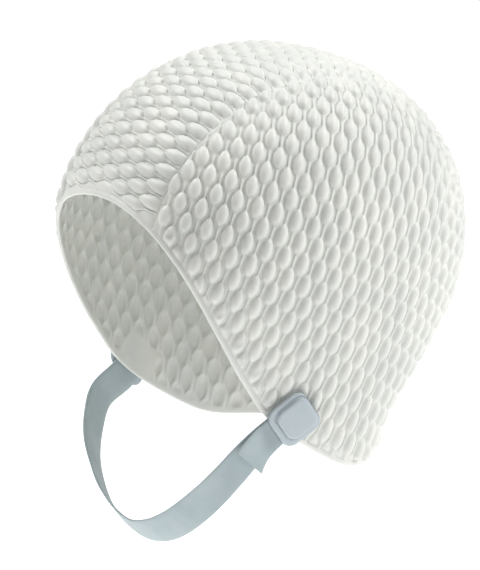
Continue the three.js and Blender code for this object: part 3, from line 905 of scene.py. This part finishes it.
def surface(name, shade, pale, patch_mm, grain_mm, grain_depth_mm, **shader):
    """Material with a soft mottling between two colours and a fine grain."""
    material = bpy.data.materials.new(name)
    material.use_nodes = True
    tree = material.node_tree
    tree.nodes.clear()
    place = add_node(tree, "ShaderNodeTexCoord", {}).outputs["Object"]
    patch = {"Vector": place, "Scale": 1 / (patch_mm * MM), "Detail": 3.0, "Roughness": 0.6}
    mottle = add_node(tree, "ShaderNodeTexNoise", patch)
    spread = {"Value": mottle.outputs["Fac"], "From Min": 0.35, "From Max": 0.65}
    ramp = add_node(tree, "ShaderNodeMapRange", spread)
    mixed = {"Factor": ramp.outputs["Result"], 6: linear(shade), 7: linear(pale)}
    colour = add_node(tree, "ShaderNodeMix", mixed, data_type="RGBA")
    grain = {"Vector": place, "Scale": 1 / (grain_mm * MM), "Detail": 2.0}
    grain = add_node(tree, "ShaderNodeTexNoise", grain)
    bump = {"Height": grain.outputs["Fac"], "Strength": 0.6, "Distance": grain_depth_mm * MM}
    bump = add_node(tree, "ShaderNodeBump", bump)
    inputs = {"Base Color": colour.outputs[2], "Normal": bump.outputs["Normal"]}
    principled = add_node(tree, "ShaderNodeBsdfPrincipled", {**inputs, **shader})
    add_node(tree, "ShaderNodeOutputMaterial", {"Surface": principled.outputs["BSDF"]})
    return material


# %% [markdown]
# ## Latex, strap rubber and button plastic
# Latex filled with white pigment looks soft: light enters a little way and comes out warm,
# and the moulded skin has a weak, wide gloss. The strap is a denser blue-grey rubber. The
# buttons are a moulded plastic with a finer gloss.

# %% Materials
LATEX_IOR = 1.52
latex = surface(
    "moulded_white_latex", "#DFE1DD", "#E8E9E3", 22.0, 0.9, 0.05,
    **{
        "Roughness": 0.46,
        "IOR": LATEX_IOR,
        "Subsurface Weight": 0.06,
        "Subsurface Radius": (1.0, 0.85, 0.7),
        "Subsurface Scale": 0.0012,
    },
)
strap_rubber = surface(
    "blue_grey_strap_rubber", "#A3B1B5", "#AEBBBE", 18.0, 0.5, 0.02, **{"Roughness": 0.5, "IOR": 1.52}
)
button_plastic = surface(
    "moulded_button_plastic", "#B3BFC4", "#BAC4CA", 12.0, 0.4, 0.01, **{"Roughness": 0.38, "IOR": 1.49}
)

for piece in cap_pieces:
    piece.data.materials.append(latex)
    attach(piece, "root")
    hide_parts("cap_shell")
for piece, node, finish, slot in (
    (strap_piece, "strap", strap_rubber, "strap"),
    (tab_piece, "strap_tab", strap_rubber, "strap"),
    (left_button, "button_left", button_plastic, "button"),
    (right_button, "button_right", button_plastic, "button"),
):
    piece.data.materials.append(finish)
    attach(piece, "root")
    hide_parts(node)
    print(piece.name, "stands for", node)

# %% [markdown]
# ## Floor, light and camera
# The cap hangs as on a head, over a wide pale floor in a white room. A soft key light
# stands high to the right of the camera, so each bubble is bright towards the back and
# shaded towards the face. A second one above the brow lights the strip and the crown. The
# camera is a very long lens, far away, which keeps the near side from looking larger than
# the far one.

# %% Stage
FLOOR_DROP = 0.24
FLOOR_REACH = 12.0
AZIMUTH = math.radians(53)
ELEVATION = math.radians(16)

floor_mesh = bpy.data.meshes.new("pale_floor")
floor_signs = ((-1, -1), (1, -1), (1, 1), (-1, 1))
floor_corners = [(x * FLOOR_REACH, y * FLOOR_REACH, -FLOOR_DROP) for x, y in floor_signs]
floor_mesh.from_pydata(floor_corners, [], [(0, 1, 2, 3)])
floor_piece = bpy.data.objects.new("pale_floor", floor_mesh)
bpy.context.scene.collection.objects.link(floor_piece)
FLOOR_GLOW = {"Roughness": 0.8, "Emission Color": linear("#FFFFFF"), "Emission Strength": 0.6}
floor_paint = surface("pale_floor_paint", "#F4F4F4", "#F6F6F6", 400.0, 2.0, 0.0, **FLOOR_GLOW)
floor_piece.data.materials.append(floor_paint)
floor_piece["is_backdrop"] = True
print("floor", round(FLOOR_DROP * 1000), "mm below the middle of the head")

# %% Camera
PHOTO_WIDTH = 480
PHOTO_HEIGHT = 570
MM_PER_PIXEL = 0.485
ORIGIN_PIXEL = (258.1, 236.3)
CAMERA_DISTANCE = 4.0

to_camera = Vector((
    math.sin(AZIMUTH) * math.cos(ELEVATION),
    -math.cos(AZIMUTH) * math.cos(ELEVATION),
    math.sin(ELEVATION),
))
to_right = Vector((math.cos(AZIMUTH), math.sin(AZIMUTH), 0))
to_top = to_camera.cross(to_right)
middle = to_right * (PHOTO_WIDTH / 2 - ORIGIN_PIXEL[0]) - to_top * (PHOTO_HEIGHT / 2 - ORIGIN_PIXEL[1])
middle *= MM_PER_PIXEL * MM

camera = bpy.data.objects.new("camera", bpy.data.cameras.new("camera"))
camera.data.sensor_fit = "VERTICAL"
camera.data.sensor_height = 24
camera.data.lens = 24 * CAMERA_DISTANCE / (PHOTO_HEIGHT * MM_PER_PIXEL * MM)
axes = Matrix((to_right, to_top, to_camera)).transposed()
camera.matrix_world = Matrix.Translation(middle + to_camera * CAMERA_DISTANCE) @ axes.to_4x4()
bpy.context.scene.collection.objects.link(camera)
bpy.context.scene.camera = camera
print("camera at", [round(value, 3) for value in camera.matrix_world.translation])

# %% Light
def soft_light(name, rightward, upward, forward, distance, size, power):
    """Square light that looks at the cap. Its place is given from the camera's side."""
    direction = (to_right * rightward + to_top * upward + to_camera * forward).normalized()
    lamp = bpy.data.lights.new(name, "AREA")
    lamp.size = size
    lamp.energy = power
    light = bpy.data.objects.new(name, lamp)
    light.location = direction * distance
    light.rotation_euler = direction.to_track_quat("Z", "Y").to_euler()
    bpy.context.scene.collection.objects.link(light)
    print(name, "gives", power, "W")


soft_light("key_light", 1.0, 0.9, 0.25, 1.2, 0.45, 9.8)
soft_light("top_light", -0.6, 1.0, 0.1, 1.2, 0.6, 9.5)

world = bpy.data.worlds.new("white_room")
world.use_nodes = True
world.node_tree.nodes["Background"].inputs["Color"].default_value = linear("#FFFFFF")
world.node_tree.nodes["Background"].inputs["Strength"].default_value = 0.25
bpy.context.scene.world = world
bpy.context.scene.view_settings.view_transform = "Standard"

# %% [markdown]
# ## Measure and finish
# The finished pieces must stay as big as the measured model, so both boxes are written
# down side by side.

# %% Print both boxes
FINISHED_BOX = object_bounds()
boxes = {
    "measured": [list(corner) for corner in MEASURED_BOX],
    "finished": [list(corner) for corner in FINISHED_BOX],
}
for name, corners in boxes.items():
    print(name, [[round(value * 1000, 1) for value in corner] for corner in corners])
